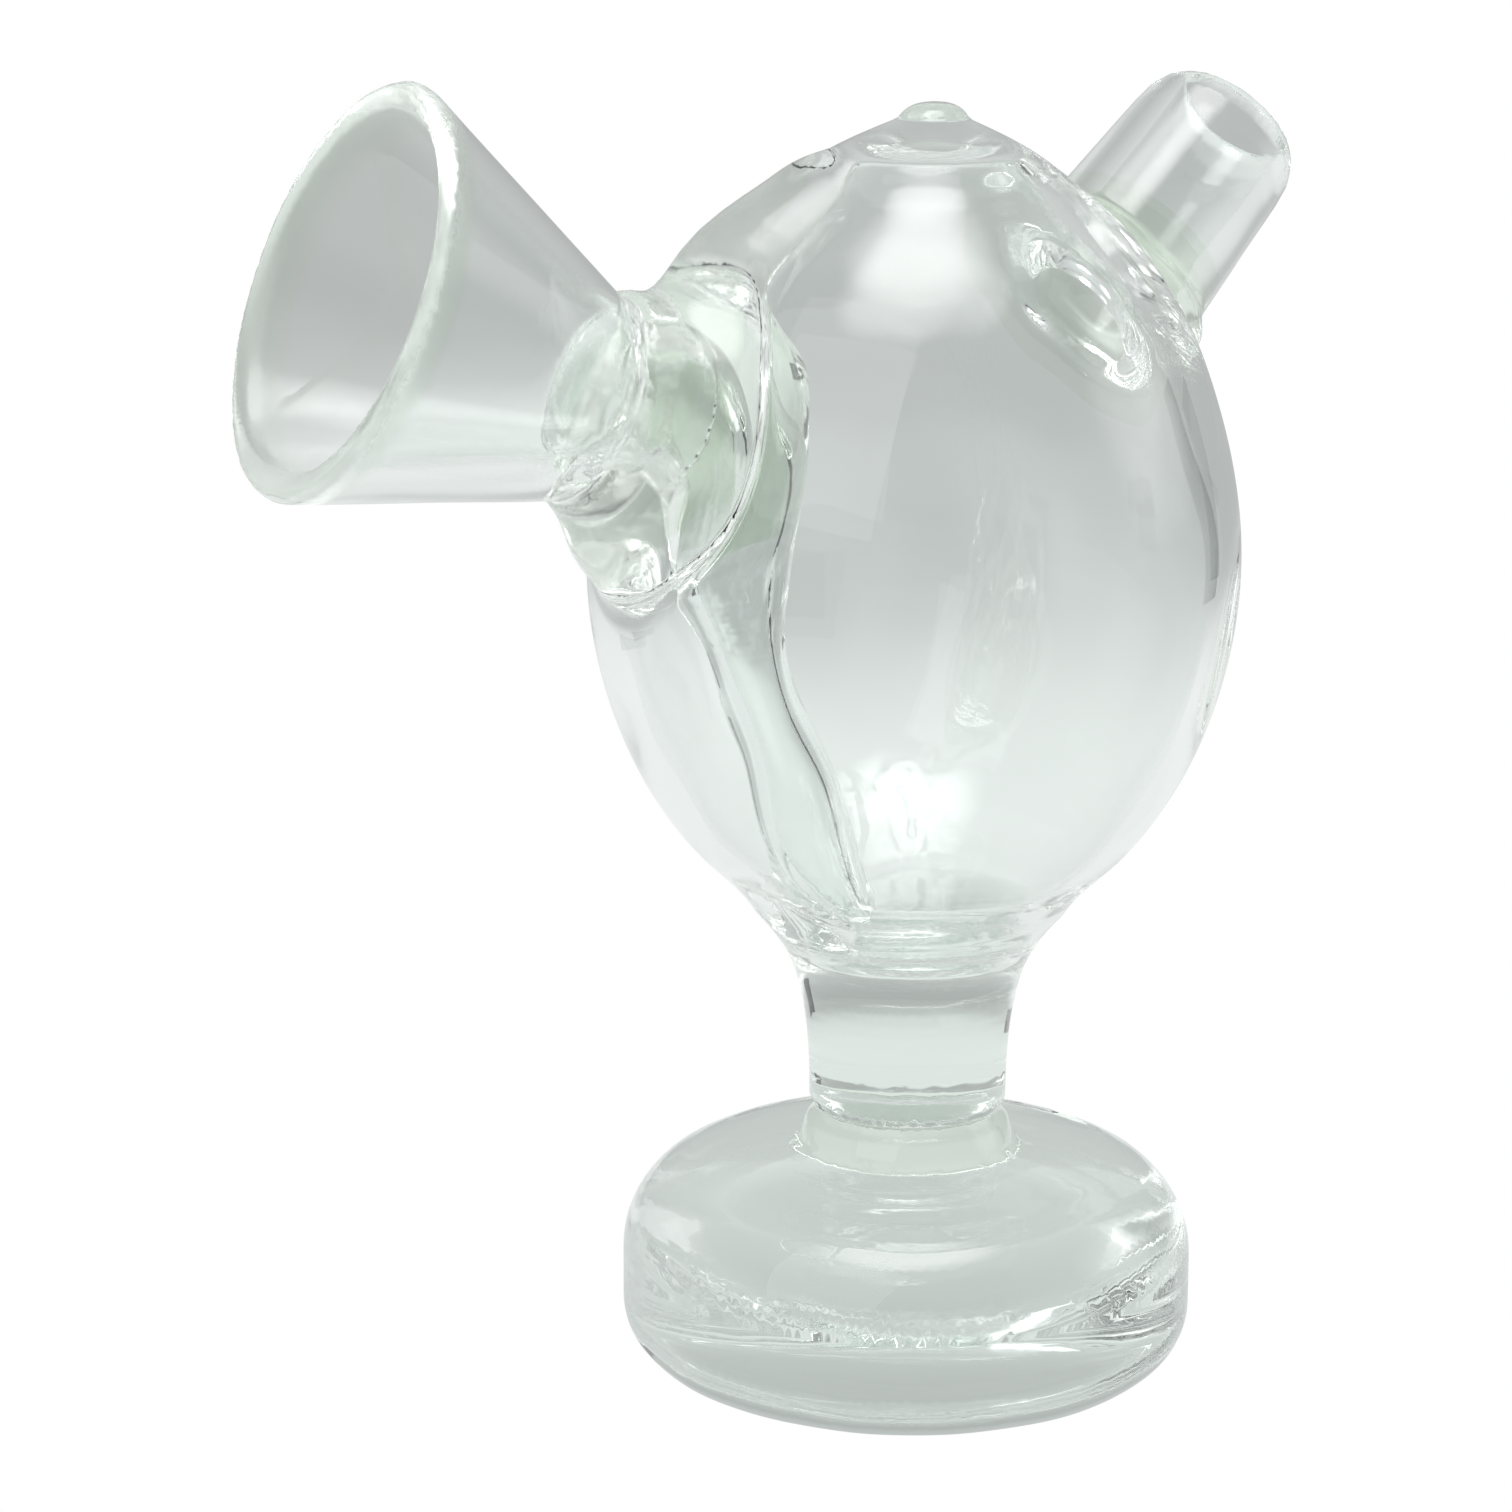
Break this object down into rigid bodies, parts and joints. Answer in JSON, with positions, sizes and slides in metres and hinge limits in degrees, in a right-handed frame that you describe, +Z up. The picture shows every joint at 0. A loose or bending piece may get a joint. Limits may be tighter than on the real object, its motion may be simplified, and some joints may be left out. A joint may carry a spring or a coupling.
{
  "type": "glass bubbler",
  "caption": "Small clear lampworked glass bubbler: solid round foot and stem, hollow egg-shaped body, funnel on one side, tube mouthpiece on the other and a bent tube inside",
  "frame": {"origin": "centre of the flat underside of the foot, on the surface it stands on", "axes": "+Z up along the stem and body, -X the way the funnel points, +X the side of the mouthpiece, +Y to the left when looking along +X"},
  "size_m": [0.0754, 0.0426, 0.0861],
  "materials": {
    "clear_glass": "clear, fire polished",
    "thick_glass": "clear, thick and faintly green",
    "weld_glass": "clear, greenish where the glass is gathered"
  },
  "bodies": {
    "root": {"foot": "thick_glass", "stem_weld": "weld_glass", "stem": "thick_glass", "chamber_floor": "thick_glass", "chamber": "clear_glass", "apex_bead": "weld_glass", "funnel": "clear_glass", "funnel_weld": "weld_glass", "shoulder_bead": "weld_glass", "downstem": "clear_glass", "downstem_weld": "weld_glass", "mouthpiece": "clear_glass", "mouthpiece_weld": "weld_glass"}
  },
  "joints": []
}
